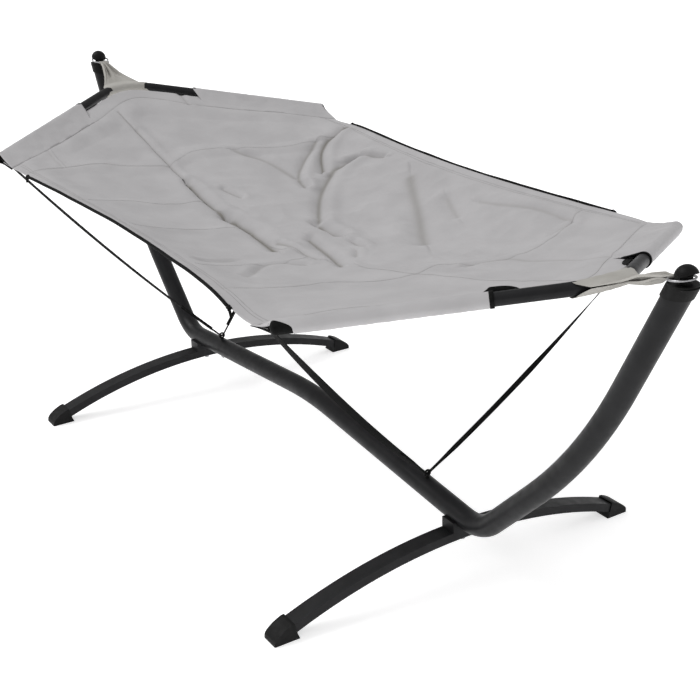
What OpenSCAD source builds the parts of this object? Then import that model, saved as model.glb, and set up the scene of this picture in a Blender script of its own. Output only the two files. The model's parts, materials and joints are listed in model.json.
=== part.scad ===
// Hammock on a free-standing tube stand, in millimetres.
// X runs along the hammock, Y across it and Z up. The origin is on the floor under the middle.
// The front end is +X and the back end -X; the left side is -Y and the right side +Y.

/* [Stand tube] */
// Outer diameter of the round stand tube
tube_d = 60; // [58:1:62]
// Wall of the round stand tube
tube_wall = 2; // [1.5:0.5:2.5]
// Distance from the middle to each joint of the centre tube
joint_x = 605; // [590:5:620]
// Height of the tube's axis at each joint
joint_z = 191; // [189:1:195]
// Slope of each half of the centre tube, in degrees
tube_slope = 5.2; // [4.8:0.1:5.6]
// Radius of the bend in the middle of the centre tube
centre_bend_r = 1300; // [1000:100:1600]
// Length of the post's narrowed end inside the centre tube
spigot_length = 90; // [70:5:110]

/* [Posts] */
// Straight length from the joint to the low bend
post_run = 186; // [184:1:190]
// Radius of the low bend
post_bend_r = 150; // [145:1:155]
// Climb after the low bend, in degrees
post_climb = 44.5; // [43:0.5:46]
// Straight length after the low bend
post_lift = 225; // [215:1:235]
// Radius of the long curve
post_curve_r = 1450; // [1400:10:1500]
// Climb at the top of the post, in degrees
post_top_climb = 63.2; // [62:0.2:65]
// Height at which the post is cut off level
post_cut_z = 1032; // [1028:1:1034]

/* [Legs] */
// Distance from the middle to each leg
leg_x = 764; // [755:1:770]
// Width of the leg's flat tube
leg_w = 50; // [46:1:54]
// Height of the leg's flat tube
leg_h = 25; // [22:1:28]
// Wall of the leg's flat tube
leg_wall = 2; // [1.5:0.5:2.5]
// Height of the leg's top at its middle
leg_top_z = 139; // [137:1:140]
// Radius of the leg's top
leg_top_r = 1512; // [1500:2:1530]
// Half the distance between the leg's ends
leg_end_y = 560; // [550:1:565]

/* [Bed] */
// Distance from the middle to each corner of the bed
corner_x = 892; // [880:1:900]
// Half the bed's width at its corners
corner_y = 596; // [580:1:600]
// Height of the bed's corners
corner_z = 890; // [885:1:895]
// Distance from the middle to the point where a spreader's two wings would meet
apex_x = 1313; // [1305:1:1320]
// Height of that point
apex_z = 988; // [984:1:992]
// Outer diameter of the spreader tube
spreader_d = 32; // [30:1:34]
// Radius of the spreader's middle bend
spreader_bend_r = 170; // [160:5:180]
// Narrowing of each side of the bed at its middle
side_draw = 50; // [40:1:60]
// Sag of the side hems
side_sag = 10; // [5:1:20]
// Sag of the bed's middle line
middle_sag = 195; // [170:5:210]
// Thickness of the quilted bed
bed_t = 10; // [8:1:12]

/* [Hanging gear] */
// Height of the hooks' necks, where the bed hangs
hang_z = 1046; // [1046:1:1046]
// Wire of the hanging rings
ring_wire_d = 5; // [4:0.5:5]
// Radius of the hanging rings, to the middle of the wire
ring_r = 28.5; // [28.5:0.5:29]
// Width of the stabiliser webbing
strap_w = 20; // [18:1:22]

/* [Hidden] */

$fn = 48;

paint = "#323234";
black = "#141414";
zinc = "#a6a8aa";
quilt = "#b0aeae";
sling_cloth = "#b0aca5";

// Clearance between pieces that are pushed together
slip = 0.2;
// Largest size, for cutting blocks
big = 400;
// How far a straight runs into a bend, and how much thicker a bend is
bend_lap = 0.5;
bend_swell = 0.1;

// Tube axis: the two straights of the centre tube meet the middle bend tangentially
bend_half_x = centre_bend_r * sin(tube_slope);
centre_run = (joint_x - bend_half_x) / cos(tube_slope);
spigot_d = tube_d - 2 * tube_wall - 2 * slip;
post_bore_d = tube_d - 2 * tube_wall - 4;

function tube_axis_z(x) = joint_z - (x - joint_x) * tan(tube_slope);

// End of the low bend, and the point where the top straight of the post begins
bend_end_x = joint_x + post_run * cos(tube_slope) + post_bend_r * (sin(tube_slope) + sin(post_climb));
bend_end_z = joint_z - post_run * sin(tube_slope) + post_bend_r * (cos(tube_slope) - cos(post_climb));
curve_end_x = bend_end_x + post_lift * cos(post_climb) + post_curve_r * (sin(post_top_climb) - sin(post_climb));
curve_end_z = bend_end_z + post_lift * sin(post_climb) + post_curve_r * (cos(post_climb) - cos(post_top_climb));

function post_axis_x(z) = curve_end_x + (z - curve_end_z) / tan(post_top_climb);

// Each step of a bent tube is [length, 0] or [bend radius, bend angle]
post_steps = [
    [post_run, 0],
    [post_bend_r, tube_slope + post_climb],
    [post_lift, 0],
    [post_curve_r, post_top_climb - post_climb],
    [360, 0]
];

// Leg bolts
bolt_d = 8;
bolt_hole_d = 9;
bolt_gap = 28;
bolt_head_h = 5.3;
washer_t = 1.6;
washer_d = 16;
nut_af = 13;
nut_h = 6.5;
leg_centre_z = leg_top_z - leg_top_r;
saddle_half_y = 39;
saddle_w = 52;

// Foot caps
cap_wall = 3;
cap_inner_y = 516;
cap_outer_y = 590;

// Eye bolts
eye_x = joint_x + 10;
eye_r = 8.5;
eye_wire_r = 3;
eye_z = tube_axis_z(eye_x) + tube_d / 2 + 13;

// Hooks
flange_h = 8;
flange_r = 33;
flange_top = post_cut_z + flange_h;
skirt_h = 24;
skirt_wall = 2.5;
neck_x = post_axis_x(post_cut_z) + 9;
neck_r = 13;
head_r = 25.5;
head_h = 24;
head_z = hang_z + 10;
head_tilt = 24;
// The rings tilt over the hooks' flanges towards the bed
ring_tilt = 9.5;
// Space under the rings' lowest points for the slings' cloth
ring_lift = 1.2;
ring_x = neck_x + neck_r + 0.8 + ring_wire_d / 2 - ring_r * cos(ring_tilt);
ring_z = flange_top + ring_lift + ring_wire_d / 2 + ring_r * sin(ring_tilt);

// Spreader bows: flat in a plane that rises towards the hook
bow_rise = atan((apex_z - corner_z) / (apex_x - corner_x));
bow_depth = (apex_x - corner_x) / cos(bow_rise);
wing_angle = atan(corner_y / bow_depth);
bow_turn = 180 - 2 * wing_angle;
wing_length = norm([bow_depth, corner_y]);
wing_run = wing_length - spreader_bend_r * tan(bow_turn / 2);
spreader_wall = 1.5;
// Distance from the corners' line to the middle of the bow's bend
bow_mid = bow_depth - spreader_bend_r * (1 / cos(bow_turn / 2) - 1);

// Soft parts of the bed
sleeve_r = 19;
sleeve_end_y = 215;
sling_half_y = 82;
sling_r = 22;
bed_inset = 27;
bed_blunt = 0.08;
tab_t = 2.2;
tab_length = 50;
tab_wrap = 170;
cord_r = 4.5;
cord_half_x = 660;
// The cords' middle lines, outside and below the hems' edges
cord_out = 5.4;
cord_drop = 3;
strap_t = 2.4;

// Height of the bed's surface at the bow, at a distance x from the middle
function bow_z(x) = corner_z + (x - corner_x) * tan(bow_rise);
// The bed's outline at the bow, where v runs from -1 at the left side to 1 at the right
function bed_end_x(v) = apex_x - bed_inset - (apex_x - corner_x) * norm([v, bed_blunt]);
// Sag along the line v
function bed_sag(v) = side_sag + (middle_sag - side_sag) * (1 - v * v);
// Middle of the bed's thickness at u along (-1 to 1) and v across (-1 to 1)
function bed_point(u, v) = [
    u * bed_end_x(v),
    v * (corner_y - side_draw * pow(1 - u * u, 1.5)),
    bow_z(bed_end_x(v)) - bed_sag(v) * (1 - u * u)
];

// ---------- shared shapes ----------

// Solid of a bent tube that starts at the origin along +X and bends up towards +Z.
// Bends are a hair thicker than straights, which run into them, so that the run is one solid.
module tube_run(steps, d, i = 0) {
    if (i < len(steps)) {
        size = steps[i][0];
        angle = steps[i][1];
        if (angle == 0) {
            before = i > 0 ? bend_lap : 0;
            after = i < len(steps) - 1 ? bend_lap : 0;
            translate([-before, 0, 0]) rotate([0, 90, 0]) cylinder(d = d, h = size + before + after);
            translate([size, 0, 0]) tube_run(steps, d, i + 1);
        } else {
            translate([0, 0, size]) rotate([0, 90, 0]) rotate([90, 0, 0])
                rotate_extrude(angle = angle, $fn = 360) translate([size, 0])
                    circle(d = d + bend_swell, $fn = 48);
            translate([size * sin(angle), 0, size * (1 - cos(angle))]) rotate([0, -angle, 0])
                tube_run(steps, d, i + 1);
        }
    }
}

// A swept solid through a list of rings, each with the same even number of points.
// Its end faces pair each ring's first half with its second half.
module swept(rings) {
    n = len(rings[0]);
    m = len(rings);
    points = [for (ring = rings) each ring];
    sides = [for (i = [0:m - 2], j = [0:n - 1])
        let (a = i * n + j, b = i * n + (j + 1) % n)
        each [[a, b, b + n], [a, b + n, a + n]]];
    ends = [for (j = [0:n / 2 - 2])
        let (k = (m - 1) * n, a = j, b = j + 1, c = n - 2 - j, d = n - 1 - j)
        each [[c, b, a], [d, c, a], [k + a, k + b, k + c], [k + a, k + c, k + d]]];
    polyhedron(points = points, faces = concat(sides, ends), convexity = 4);
}

module at_back() {
    mirror([1, 0, 0]) children();
}

module at_right() {
    mirror([0, 1, 0]) children();
}

module hex_nut(af, h) {
    cylinder(d = af / cos(30), h = h, $fn = 6);
}

// ---------- stand ----------

module centre_tube_solid(d, over) {
    steps = [
        [centre_run + over, 0],
        [centre_bend_r, 2 * tube_slope],
        [centre_run + over, 0]
    ];
    translate([-joint_x - over * cos(tube_slope), 0, joint_z - over * sin(tube_slope)])
        rotate([0, -tube_slope, 0]) rotate([180, 0, 0]) tube_run(steps, d);
}

module centre_tube() {
    color(paint) difference() {
        centre_tube_solid(tube_d, 0);
        centre_tube_solid(tube_d - 2 * tube_wall, 1);
    }
}

module post() {
    color(paint) difference() {
        union() {
            translate([joint_x, 0, joint_z]) rotate([0, tube_slope, 0]) tube_run(post_steps, tube_d);
            translate([joint_x, 0, joint_z]) rotate([0, tube_slope - 90, 0]) translate([0, 0, -2])
                cylinder(d = spigot_d, h = spigot_length + 2);
        }
        translate([joint_x, 0, joint_z]) rotate([0, tube_slope, 0]) tube_run(post_steps, post_bore_d);
        translate([joint_x, 0, joint_z]) rotate([0, tube_slope - 90, 0]) translate([0, 0, -2])
            cylinder(d = post_bore_d - 0.4, h = spigot_length + 4);
        translate([curve_end_x - big / 2, -big / 2, post_cut_z]) cube([big * 1.5, big, big]);
        translate([eye_x, 0, joint_z - big / 2]) cylinder(d = bolt_hole_d, h = big);
        for (dx = [-bolt_gap / 2, bolt_gap / 2])
            translate([leg_x + dx, 0, leg_top_z]) cylinder(d = bolt_hole_d, h = 20);
    }
}

module post_front() { post(); }
module post_back() { at_back() post(); }

// The arch of a leg: a flat tube bent in the YZ plane, with its section grown by g
module leg_arch(g, end_y, w = leg_w) {
    half = asin(end_y / (leg_top_r - leg_h / 2));
    translate([leg_x, 0, leg_centre_z]) rotate([0, -90, 0]) rotate([0, 0, -half])
        rotate_extrude(angle = 2 * half, $fn = 720)
            translate([leg_top_r - leg_h - g, -w / 2 - g]) square([leg_h + 2 * g, w + 2 * g]);
}

module leg_bolt_places() {
    for (dx = [-bolt_gap / 2, bolt_gap / 2])
        translate([leg_x + dx, 0, 0]) children();
}

module leg() {
    color(paint) difference() {
        leg_arch(0, leg_end_y);
        leg_arch(-leg_wall, leg_end_y + 5);
        leg_bolt_places() translate([0, 0, leg_top_z - big / 2]) cylinder(d = bolt_hole_d, h = big);
    }
}

module leg_front() { leg(); }
module leg_back() { at_back() leg(); }

module saddle() {
    color(paint) difference() {
        translate([leg_x - saddle_w / 2, -saddle_half_y, leg_top_z - 8])
            cube([saddle_w, 2 * saddle_half_y, tube_axis_z(leg_x) - leg_top_z]);
        translate([joint_x, 0, joint_z]) rotate([0, tube_slope + 90, 0])
            cylinder(d = tube_d + 2 * slip, h = 300);
        leg_arch(slip, leg_end_y, saddle_w + 20);
        leg_bolt_places() translate([0, 0, leg_top_z - 20]) cylinder(d = bolt_hole_d, h = 60);
    }
}

module saddle_front() { saddle(); }
module saddle_back() { at_back() saddle(); }

leg_bottom_z = leg_top_z - leg_h;

module leg_bolt() {
    translate([0, 0, leg_bottom_z - washer_t - bolt_head_h - slip]) {
        hex_nut(nut_af, bolt_head_h);
        cylinder(d = bolt_d, h = 58);
    }
}

module leg_washer() {
    translate([0, 0, leg_bottom_z - washer_t - slip / 2]) difference() {
        cylinder(d = washer_d, h = washer_t);
        translate([0, 0, -1]) cylinder(d = bolt_d + 0.4, h = washer_t + 2);
    }
}

module leg_nut() {
    translate([0, 0, tube_axis_z(leg_x) - tube_d / 2 + tube_wall + 5.5]) difference() {
        hex_nut(nut_af, nut_h);
        translate([0, 0, -1]) cylinder(d = bolt_d + 0.4, h = nut_h + 2);
    }
}

module leg_bolts() {
    color(zinc) {
        leg_bolt_places() leg_bolt();
        at_back() leg_bolt_places() leg_bolt();
    }
}

module leg_washers() {
    color(zinc) {
        leg_bolt_places() leg_washer();
        at_back() leg_bolt_places() leg_washer();
    }
}

module leg_nuts() {
    color(zinc) {
        leg_bolt_places() leg_nut();
        at_back() leg_bolt_places() leg_nut();
    }
}

// Points of an arc about c, from angle a to angle b
function arc_points(c, r, a, b, n) = [for (i = [0:n]) c + r * [cos(a + (b - a) * i / n), sin(a + (b - a) * i / n)]];

// Side view of a foot cap on the right: a flat sole, a rounded toe over the leg's end and a heel
foot_outline = [
    [cap_inner_y, 0],
    [cap_outer_y - 1, 0],
    [cap_outer_y, 5],
    [cap_outer_y - 3, 13],
    [cap_outer_y - 9, 21],
    [cap_outer_y - 17, 28],
    [cap_outer_y - 27, 35],
    [cap_outer_y - 40, 42],
    [cap_outer_y - 52, 47],
    [cap_inner_y + 14, 48],
    [cap_inner_y + 6, 15]
];

// Plan of a foot cap: a rectangle with rounded outer corners
foot_half_w = leg_w / 2 + cap_wall;
foot_plan = concat(
    [[cap_inner_y - 20, -foot_half_w]],
    arc_points([cap_outer_y - 5, 5 - foot_half_w], 5, -90, 0, 4),
    arc_points([cap_outer_y - 5, foot_half_w - 5], 5, 0, 90, 4),
    [[cap_inner_y - 20, foot_half_w]]
);

module foot_cap() {
    color(black) difference() {
        intersection() {
            translate([leg_x - foot_half_w - 1, 0, 0]) rotate([90, 0, 90])
                linear_extrude(2 * foot_half_w + 2) polygon(foot_outline);
            translate([leg_x, 0, -1]) mirror([1, -1, 0]) linear_extrude(80) polygon(foot_plan);
        }
        leg_arch(slip, leg_end_y + 1);
    }
}

module foot_cap_front_right() { foot_cap(); }
module foot_cap_front_left() { at_right() foot_cap(); }
module foot_cap_back_right() { at_back() foot_cap(); }
module foot_cap_back_left() { at_back() at_right() foot_cap(); }

// A domed head, closed below, whose profile is a quarter ellipse
module hook_head() {
    steps = 12;
    profile = concat([[0, 0]], [for (i = [0:steps]) [head_r * cos(90 * i / steps), head_h * sin(90 * i / steps)]]);
    rotate_extrude() polygon(profile);
}

module hook_cap() {
    color(black) {
        difference() {
            union() {
                translate([post_axis_x(post_cut_z + flange_h / 2), 0, post_cut_z + slip])
                    cylinder(r = flange_r, h = flange_h - slip);
                intersection() {
                    translate([curve_end_x, 0, curve_end_z]) rotate([0, 90 - post_top_climb, 0])
                        cylinder(d = tube_d + 2 * slip + 2 * skirt_wall, h = 400);
                    translate([curve_end_x, -big / 2, post_cut_z - skirt_h])
                        cube([big, big, skirt_h + flange_h / 2]);
                }
            }
            intersection() {
                translate([curve_end_x, 0, curve_end_z]) rotate([0, 90 - post_top_climb, 0])
                    cylinder(d = tube_d + 2 * slip, h = 400);
                translate([curve_end_x, -big / 2, post_cut_z - big + slip]) cube([big, big, big]);
            }
        }
        translate([neck_x, 0, flange_top - 1]) cylinder(r = neck_r, h = head_z - flange_top + 4);
        translate([neck_x, 0, head_z]) rotate([0, -head_tilt, 0]) hook_head();
    }
}

module hook_cap_front() { hook_cap(); }
module hook_cap_back() { at_back() hook_cap(); }

module eye_bolt() {
    color(black) translate([eye_x, 0, 0]) {
        translate([0, 0, eye_z]) rotate([0, 90, 0]) rotate_extrude() translate([eye_r, 0]) circle(r = eye_wire_r);
        translate([0, 0, tube_axis_z(eye_x) - tube_d / 2 - 10])
            cylinder(d = bolt_d, h = eye_z - eye_r - tube_axis_z(eye_x) + tube_d / 2 + 10);
        translate([0, 0, tube_axis_z(eye_x) + tube_d / 2 + 0.6]) cylinder(d = 13, h = 1.4);
    }
}

module eye_bolt_front() { eye_bolt(); }
module eye_bolt_back() { at_back() eye_bolt(); }

module eye_bolt_nut() {
    translate([eye_x, 0, tube_axis_z(eye_x) - tube_d / 2 - nut_h - 0.9]) difference() {
        hex_nut(nut_af, nut_h);
        translate([0, 0, -1]) cylinder(d = bolt_d + 0.4, h = nut_h + 2);
    }
}

module eye_bolt_nuts() {
    color(zinc) {
        eye_bolt_nut();
        at_back() eye_bolt_nut();
    }
}

// ---------- bed frame ----------

// The plane of the front bow: x along its depth from the corners, y across, z out of the plane
module bow_plane() {
    translate([corner_x, 0, corner_z]) rotate([0, -bow_rise, 0]) children();
}

// Start of the left wing, looking along it towards the middle, with the bend in the plane
module left_wing() {
    bow_plane() translate([0, -corner_y, 0]) rotate([0, 0, wing_angle]) children();
}

module bow(d, over) {
    steps = [[wing_run + over, 0], [spreader_bend_r, bow_turn], [wing_run + over, 0]];
    left_wing() translate([-over, 0, 0]) rotate([-90, 0, 0]) tube_run(steps, d);
}

module spreader() {
    color(paint) difference() {
        bow(spreader_d, 0);
        bow(spreader_d - 2 * spreader_wall, 1);
    }
}

module spreader_front() { spreader(); }
module spreader_back() { at_back() spreader(); }

module end_plug() {
    color(black) left_wing() rotate([0, 90, 0]) {
        translate([0, 0, -3]) cylinder(d = spreader_d, h = 3 - slip);
        translate([0, 0, -1]) cylinder(d = spreader_d - 2 * spreader_wall - 2 * slip, h = 25);
    }
}

module end_plug_front_left() { end_plug(); }
module end_plug_front_right() { at_right() end_plug(); }
module end_plug_back_left() { at_back() end_plug(); }
module end_plug_back_right() { at_back() at_right() end_plug(); }

// ---------- soft parts ----------

module pole_sleeve() {
    sleeve_length = wing_length * (corner_y - sleeve_end_y) / corner_y;
    color(quilt) left_wing() rotate([0, 90, 0]) difference() {
        cylinder(r = sleeve_r, h = sleeve_length);
        translate([0, 0, -1]) cylinder(d = spreader_d + 2 * slip, h = sleeve_length + 2);
    }
}

module pole_sleeve_front_left() { pole_sleeve(); }
module pole_sleeve_front_right() { at_right() pole_sleeve(); }
module pole_sleeve_back_left() { at_back() pole_sleeve(); }
module pole_sleeve_back_right() { at_back() at_right() pole_sleeve(); }

// A webbing tab sewn round the outside and underside of the sleeve at the bed's corner
module corner_tab() {
    color(black) left_wing() rotate([0, 90, 0]) rotate([0, 0, -100])
        rotate_extrude(angle = tab_wrap) translate([sleeve_r + slip, -1]) square([tab_t, tab_length]);
}

module corner_tab_front_left() { corner_tab(); }
module corner_tab_front_right() { at_right() corner_tab(); }
module corner_tab_back_left() { at_back() corner_tab(); }
module corner_tab_back_right() { at_back() at_right() corner_tab(); }

// The quilted bed: a sagging hexagonal slab with sides that draw in
module bed_fabric() {
    nu = 40;
    nv = 16;
    rise = [0, 0, bed_t / 2];
    rings = [for (i = [0:nu]) let (u = -1 + 2 * i / nu) concat(
        [for (j = [0:nv]) bed_point(u, -1 + 2 * j / nv) + rise],
        [for (j = [nv:-1:0]) bed_point(u, -1 + 2 * j / nv) - rise]
    )];
    color(quilt) swept(rings);
}

// The cord along a side hem follows the hem
module side_cord() {
    n = 44;
    sides = 8;
    rings = [for (i = [0:n])
        let (x = -cord_half_x + 2 * cord_half_x * i / n, p = bed_point(x / bed_end_x(1), 1))
        [for (j = [0:sides - 1]) let (a = 360 * j / sides)
            [x, p[1] + cord_out + cord_r * cos(a), p[2] - cord_drop + cord_r * sin(a)]]];
    color(black) swept(rings);
}

module side_cord_right() { side_cord(); }
module side_cord_left() { at_right() side_cord(); }

// A gathered cloth sling: a loop round the middle of the bow and a tapering plate up to the ring
module sling() {
    reach = ring_x - ring_r * cos(ring_tilt) - ring_wire_d / 2 - 3.5;
    reach_z = ring_z - ring_r * sin(ring_tilt);
    mid_x = corner_x + bow_mid * cos(bow_rise);
    mid_z = bow_z(mid_x);
    run = norm([reach - mid_x, reach_z - mid_z]);
    climb = atan((reach_z - mid_z) / (reach - mid_x));
    plate_t = 9;
    color(sling_cloth) difference() {
        union() {
            intersection() {
                bow(2 * sling_r, 0);
                translate([mid_x - big / 2, -sling_half_y, mid_z - big / 2]) cube([big, 2 * sling_half_y, big]);
            }
            translate([mid_x, 0, mid_z]) rotate([0, -climb, 0]) translate([0, 0, -plate_t / 2])
                linear_extrude(plate_t) polygon([
                    [-8, -sling_half_y + 16], [-8, sling_half_y - 16], [30, sling_half_y - 22],
                    [run * 0.6, 26], [run, 10], [run, -10], [run * 0.6, -26], [30, 22 - sling_half_y]
                ]);
        }
        bow(spreader_d + 2 * slip, 0);
    }
}

module sling_front() { sling(); }
module sling_back() { at_back() sling(); }

module ring() {
    color(zinc) translate([ring_x, 0, ring_z]) rotate([0, -ring_tilt, 0]) rotate_extrude()
        translate([ring_r, 0]) circle(d = ring_wire_d);
}

module ring_front() { ring(); }
module ring_back() { at_back() ring(); }

// Stabiliser webbing from under the side hem down to the eye bolt, with half a twist on the way
strap_top = [corner_x - 74, 22 - corner_y, corner_z - 22];
strap_foot = [eye_x + 4, -15, eye_z + 6];

module strap() {
    n = 14;
    axis = (strap_foot - strap_top) / norm(strap_foot - strap_top);
    side = cross(axis, [0, 0, 1]) / norm(cross(axis, [0, 0, 1]));
    out = cross(side, axis);
    rings = [for (i = [0:n])
        let (
            s = i / n,
            turn = 35 + 180 * s,
            w = (strap_w - 10 * max(0, s - 0.8) / 0.2) / 2,
            a = cos(turn) * side + sin(turn) * out,
            b = -sin(turn) * side + cos(turn) * out,
            c = strap_top + (strap_foot - strap_top) * s
        )
        [c - w * a - b * strap_t / 2, c + w * a - b * strap_t / 2,
         c + w * a + b * strap_t / 2, c - w * a + b * strap_t / 2]];
    color(black) swept(rings);
}

module strap_front_left() { strap(); }
module strap_front_right() { at_right() strap(); }
module strap_back_left() { at_back() strap(); }
module strap_back_right() { at_back() at_right() strap(); }

centre_tube();
post_front();
post_back();
leg_front();
leg_back();
saddle_front();
saddle_back();
leg_bolts();
leg_washers();
leg_nuts();
foot_cap_front_left();
foot_cap_front_right();
foot_cap_back_left();
foot_cap_back_right();
hook_cap_front();
hook_cap_back();
eye_bolt_front();
eye_bolt_back();
eye_bolt_nuts();
spreader_front();
spreader_back();
end_plug_front_left();
end_plug_front_right();
end_plug_back_left();
end_plug_back_right();
bed_fabric();
pole_sleeve_front_left();
pole_sleeve_front_right();
pole_sleeve_back_left();
pole_sleeve_back_right();
corner_tab_front_left();
corner_tab_front_right();
corner_tab_back_left();
corner_tab_back_right();
side_cord_left();
side_cord_right();
sling_front();
sling_back();
ring_front();
ring_back();
strap_front_left();
strap_front_right();
strap_back_left();
strap_back_right();
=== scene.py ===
import json
import math
import bpy
import numpy as np
from mathutils import Matrix, Vector, noise


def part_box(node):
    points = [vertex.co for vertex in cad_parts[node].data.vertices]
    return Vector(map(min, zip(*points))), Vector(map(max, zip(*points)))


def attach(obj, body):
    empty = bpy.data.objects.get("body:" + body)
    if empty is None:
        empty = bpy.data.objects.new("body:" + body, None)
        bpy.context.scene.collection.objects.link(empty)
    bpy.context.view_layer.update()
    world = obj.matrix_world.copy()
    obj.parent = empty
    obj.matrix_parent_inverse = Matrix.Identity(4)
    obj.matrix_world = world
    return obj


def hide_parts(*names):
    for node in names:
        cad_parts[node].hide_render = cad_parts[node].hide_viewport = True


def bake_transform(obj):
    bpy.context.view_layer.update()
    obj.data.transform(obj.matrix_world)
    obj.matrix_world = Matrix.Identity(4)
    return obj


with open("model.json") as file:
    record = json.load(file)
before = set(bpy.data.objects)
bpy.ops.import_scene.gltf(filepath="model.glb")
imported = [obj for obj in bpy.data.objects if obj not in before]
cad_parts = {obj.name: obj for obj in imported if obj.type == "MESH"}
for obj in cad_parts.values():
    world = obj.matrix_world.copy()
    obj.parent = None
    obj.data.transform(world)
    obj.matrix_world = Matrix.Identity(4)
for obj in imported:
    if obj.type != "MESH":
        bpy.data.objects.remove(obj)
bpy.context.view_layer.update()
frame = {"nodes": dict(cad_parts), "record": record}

# ---------------------------------------------------------------- camera
# The view is from the hammock's front end, a little to its left and above it.
CAMERA_AT = Vector((3.182, -1.814, 1.919))
CAMERA_BACK = Vector((0.7625, -0.4990, 0.4119))
CAMERA_UP = Vector((-0.3356, 0.2393, 0.9111))
cam = bpy.data.objects.new("camera", bpy.data.cameras.new("camera"))
bpy.context.scene.collection.objects.link(cam)
back = CAMERA_BACK.normalized()
right = CAMERA_UP.cross(back).normalized()
up = back.cross(right)
cam.matrix_world = Matrix.Translation(CAMERA_AT) @ Matrix((right, up, back)).transposed().to_4x4()
cam.data.sensor_width = 36.0
cam.data.lens = 66.8
cam.data.shift_x = -0.05
cam.data.shift_y = 0.05
cam.data.clip_end = 200
bpy.context.scene.camera = cam

# ---------------------------------------------------------------- sizes, as in the CAD model, in metres
CORNER = np.array([0.892, 0.596, 0.890])
APEX = np.array([1.313, 0.0, 0.988])
POLE_R = 0.016
SLEEVE_Y = 0.215
BED_T = 0.010
HEM_T = 0.0042
SIDE_DRAW = 0.050
SIDE_SAG = 0.010
MIDDLE_SAG = 0.195
BED_INSET = 0.027
BED_BLUNT = 0.08
BEND_R = 0.170
CORD_R = 0.0045
CORD_X = 0.660
RISE = math.atan2(APEX[2] - CORNER[2], APEX[0] - CORNER[0])
EYE = np.array([0.615, 0.0, 0.2331])
CORD_OUT = 0.0054
CORD_DROP = 0.003
RING_R = 0.0285
RING_WIRE = 0.0025
RING_TILT = math.radians(9.5)



def unit(v):
    v = np.asarray(v, float)
    return v / np.maximum(np.linalg.norm(v, axis=-1, keepdims=True), 1e-12)


def smooth(x, a, b):
    """0 below a, 1 above b, smooth between."""
    t = np.clip((np.asarray(x, float) - a) / (b - a), 0, 1)
    return t * t * (3 - 2 * t)


# ---------------------------------------------------------------- materials
def material(name, colour, roughness, metallic=0.0, sheen=0.0, specular=0.5):
    mat = bpy.data.materials.new(name)
    mat.use_nodes = True
    bsdf = mat.node_tree.nodes["Principled BSDF"]
    bsdf.inputs["Base Color"].default_value = (*colour, 1)
    bsdf.inputs["Roughness"].default_value = roughness
    bsdf.inputs["Metallic"].default_value = metallic
    bsdf.inputs["Sheen Weight"].default_value = sheen
    bsdf.inputs["Sheen Roughness"].default_value = 0.4
    bsdf.inputs["Specular IOR Level"].default_value = specular
    return mat


def node(mat, kind, **values):
    made = mat.node_tree.nodes.new(kind)
    for key, value in values.items():
        if key in made.inputs:
            made.inputs[key].default_value = value
        else:
            setattr(made, key, value)
    return made


def link(mat, a, out, b, into):
    mat.node_tree.links.new(a.outputs[out], b.inputs[into])


def coordinates(mat, kind):
    return node(mat, "ShaderNodeTexCoord"), {"object": "Object", "uv": "UV"}[kind]


def vary_colour(mat, source, out, low, high, scale, detail=4.0, where=(0.35, 0.65)):
    """The base colour runs between two colours with a noise."""
    tex = node(mat, "ShaderNodeTexNoise", Scale=scale, Detail=detail)
    ramp = node(mat, "ShaderNodeValToRGB")
    ramp.color_ramp.elements[0].position = where[0]
    ramp.color_ramp.elements[1].position = where[1]
    ramp.color_ramp.elements[0].color = (*low, 1)
    ramp.color_ramp.elements[1].color = (*high, 1)
    link(mat, source, out, tex, "Vector")
    link(mat, tex, "Fac", ramp, "Fac")
    link(mat, ramp, "Color", mat.node_tree.nodes["Principled BSDF"], "Base Color")


def vary_roughness(mat, source, out, low, high, scale):
    tex = node(mat, "ShaderNodeTexNoise", Scale=scale, Detail=3.0)
    span = node(mat, "ShaderNodeMapRange")
    span.inputs["From Min"].default_value = 0.3
    span.inputs["From Max"].default_value = 0.7
    span.inputs["To Min"].default_value = low
    span.inputs["To Max"].default_value = high
    link(mat, source, out, tex, "Vector")
    link(mat, tex, "Fac", span, "Value")
    link(mat, span, "Result", mat.node_tree.nodes["Principled BSDF"], "Roughness")


def bump(mat, height, out, strength, distance, below=None):
    made = node(mat, "ShaderNodeBump", Strength=strength, Distance=distance)
    link(mat, height, out, made, "Height")
    if below is not None:
        link(mat, below, "Normal", made, "Normal")
    link(mat, made, "Normal", mat.node_tree.nodes["Principled BSDF"], "Normal")
    return made


def noise_bump(mat, source, out, scale, strength, distance, below=None, detail=3.0):
    tex = node(mat, "ShaderNodeTexNoise", Scale=scale, Detail=detail)
    link(mat, source, out, tex, "Vector")
    return bump(mat, tex, "Fac", strength, distance, below)


def wave(mat, source, out, direction, pitch, distortion=0.0):
    """Bands with the given pitch, in the units of the coordinates."""
    tex = node(mat, "ShaderNodeTexWave", bands_direction=direction, Distortion=distortion)
    tex.inputs["Scale"].default_value = 2 * math.pi / (20 * pitch)
    link(mat, source, out, tex, "Vector")
    return tex


def crossed(mat, a, b, how):
    mix = node(mat, "ShaderNodeMath", operation=how)
    link(mat, a, "Fac", mix, 0)
    link(mat, b, "Fac", mix, 1)
    return mix


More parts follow.
